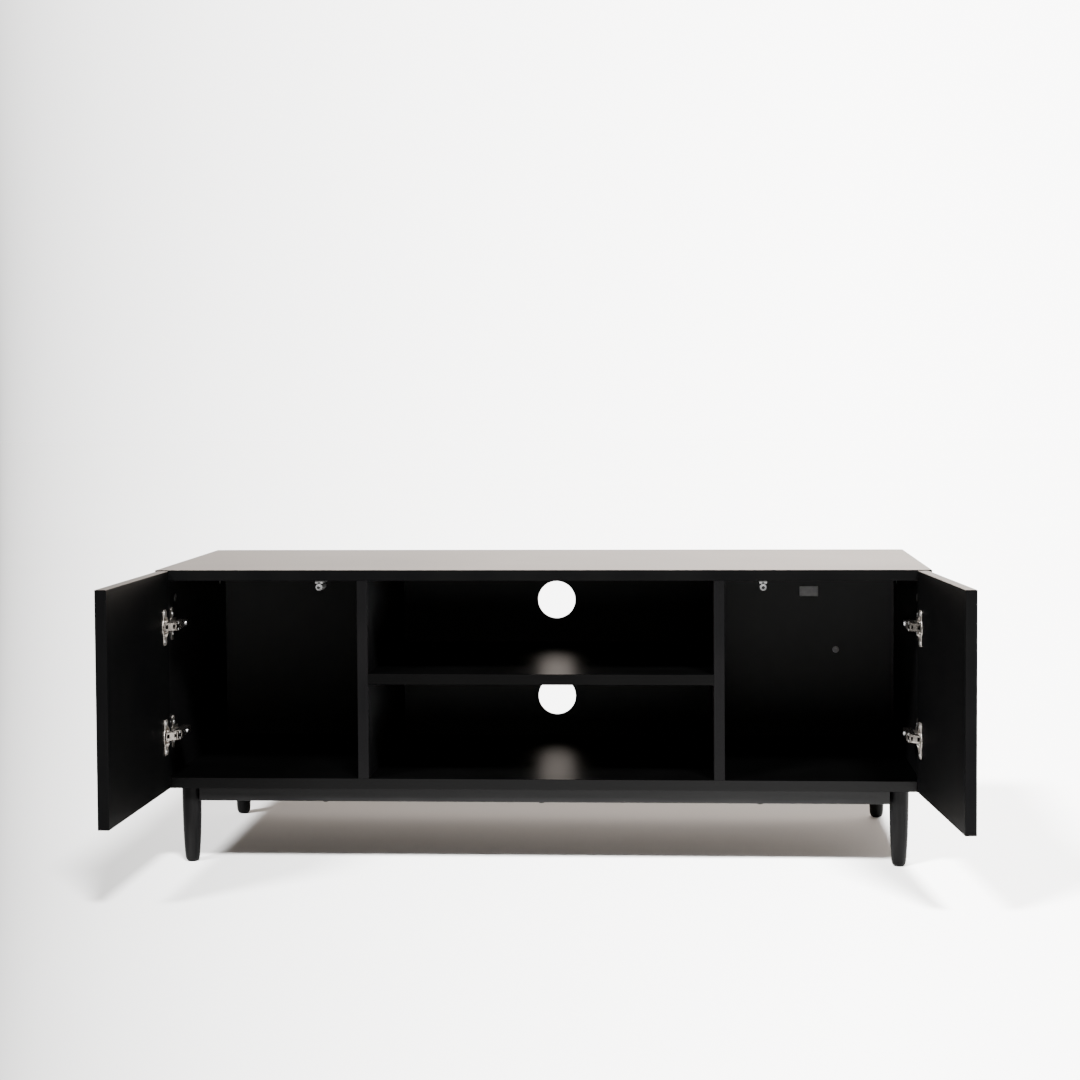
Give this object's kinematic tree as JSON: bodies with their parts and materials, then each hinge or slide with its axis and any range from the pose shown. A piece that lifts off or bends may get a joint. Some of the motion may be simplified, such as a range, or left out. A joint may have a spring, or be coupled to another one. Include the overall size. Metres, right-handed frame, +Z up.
{
  "type": "media_cabinet",
  "caption": "Low black media cabinet on turned tapered legs, with an open middle bay split by a shelf and a hinged door on each side, both standing open.",
  "frame": {"origin": "on the floor, under the middle of the carcass", "axes": "X to the right, Y to the back, Z up; the front faces -Y"},
  "size_m": [1.3278, 0.8405, 0.5],
  "materials": {
    "black_board": "satin black lacquer",
    "black_wood": "satin black stain",
    "nickel": "satin nickel plate",
    "zinc": "zinc plate",
    "grey_plastic": "matte grey",
    "beech": "raw beech"
  },
  "bodies": {
    "cabinet": {"top_panel": "black_board", "bottom_panel": "black_board", "left_side_panel": "black_board", "right_side_panel": "black_board", "left_divider": "black_board", "right_divider": "black_board", "shelf": "black_board", "back_panel": "black_board", "front_rail": "black_wood", "back_rail": "black_wood", "front_left_leg": "black_wood", "front_right_leg": "black_wood", "back_left_leg": "black_wood", "back_right_leg": "black_wood", "leg_bolts": "zinc", "leg_inserts": "zinc", "cam_locks": "zinc", "cam_bolts": "zinc", "top_dowels": "beech", "shelf_dowels": "beech", "carcass_screws": "zinc", "rail_screws": "zinc", "plate_screws": "zinc", "clamp_screws": "zinc", "arm_pins": "zinc", "latch_screws": "zinc", "left_latch_housing": "grey_plastic", "right_latch_housing": "grey_plastic", "left_upper_mounting_plate": "nickel", "left_upper_hinge_arm": "nickel", "left_lower_mounting_plate": "nickel", "left_lower_hinge_arm": "nickel", "right_upper_mounting_plate": "nickel", "right_upper_hinge_arm": "nickel", "right_lower_mounting_plate": "nickel", "right_lower_hinge_arm": "nickel"},
    "left_outer_links": {"left_upper_outer_link": "nickel", "left_lower_outer_link": "nickel"},
    "left_inner_links": {"left_upper_inner_link": "nickel", "left_lower_inner_link": "nickel"},
    "left_door": {"left_door": "black_board", "left_upper_hinge_cup": "nickel", "left_lower_hinge_cup": "nickel", "left_cup_pins": "zinc", "left_cup_screws": "zinc"},
    "left_plunger": {"left_latch_plunger": "grey_plastic"},
    "right_outer_links": {"right_upper_outer_link": "nickel", "right_lower_outer_link": "nickel"},
    "right_inner_links": {"right_upper_inner_link": "nickel", "right_lower_inner_link": "nickel"},
    "right_door": {"right_door": "black_board", "right_upper_hinge_cup": "nickel", "right_lower_hinge_cup": "nickel", "right_cup_pins": "zinc", "right_cup_screws": "zinc"},
    "right_plunger": {"right_latch_plunger": "grey_plastic"}
  },
  "joints": [
    {"name": "left_outer_link_turn", "type": "hinge", "parent": "cabinet", "child": "left_outer_links", "pos_m": [-0.612, -0.2376, 0.3135], "axis": [0, 0, -1], "range_deg": [-3.71, 35.59]},
    {"name": "left_door_swing", "type": "hinge", "parent": "left_outer_links", "child": "left_door", "pos_m": [-0.6284, -0.25632, 0.3135], "axis": [0, 0, -1], "range_deg": [-126.49, 12.21]},
    {"name": "left_inner_link_turn", "type": "hinge", "parent": "cabinet", "child": "left_inner_links", "pos_m": [-0.6136, -0.2504, 0.3135], "axis": [0, 0, -1], "range_deg": [-4.68, 45.72]},
    {"name": "left_latch_push", "type": "slide", "parent": "cabinet", "child": "left_plunger", "axis": [0, 1, 0], "range_m": [0, 0.003], "stiffness_N_per_m": 300},
    {"name": "right_outer_link_turn", "type": "hinge", "parent": "cabinet", "child": "right_outer_links", "pos_m": [0.612, -0.2376, 0.3135], "axis": [0, 0, 1], "range_deg": [-2.16, 37.14]},
    {"name": "right_door_swing", "type": "hinge", "parent": "right_outer_links", "child": "right_door", "pos_m": [0.62789, -0.25675, 0.3135], "axis": [0, 0, 1], "range_deg": [-132.04, 6.66]},
    {"name": "right_inner_link_turn", "type": "hinge", "parent": "cabinet", "child": "right_inner_links", "pos_m": [0.6136, -0.2504, 0.3135], "axis": [0, 0, 1], "range_deg": [-2.65, 46.85]},
    {"name": "right_latch_push", "type": "slide", "parent": "cabinet", "child": "right_plunger", "axis": [0, 1, 0], "range_m": [0, 0.003], "stiffness_N_per_m": 300}
  ],
  "couplings": [
    {"joint": "left_outer_link_turn", "follows": "left_door_swing", "ratio": -0.27902},
    {"joint": "left_inner_link_turn", "follows": "left_door_swing", "ratio": -0.35905},
    {"joint": "right_outer_link_turn", "follows": "right_door_swing", "ratio": -0.27902},
    {"joint": "right_inner_link_turn", "follows": "right_door_swing", "ratio": -0.35256}
  ]
}
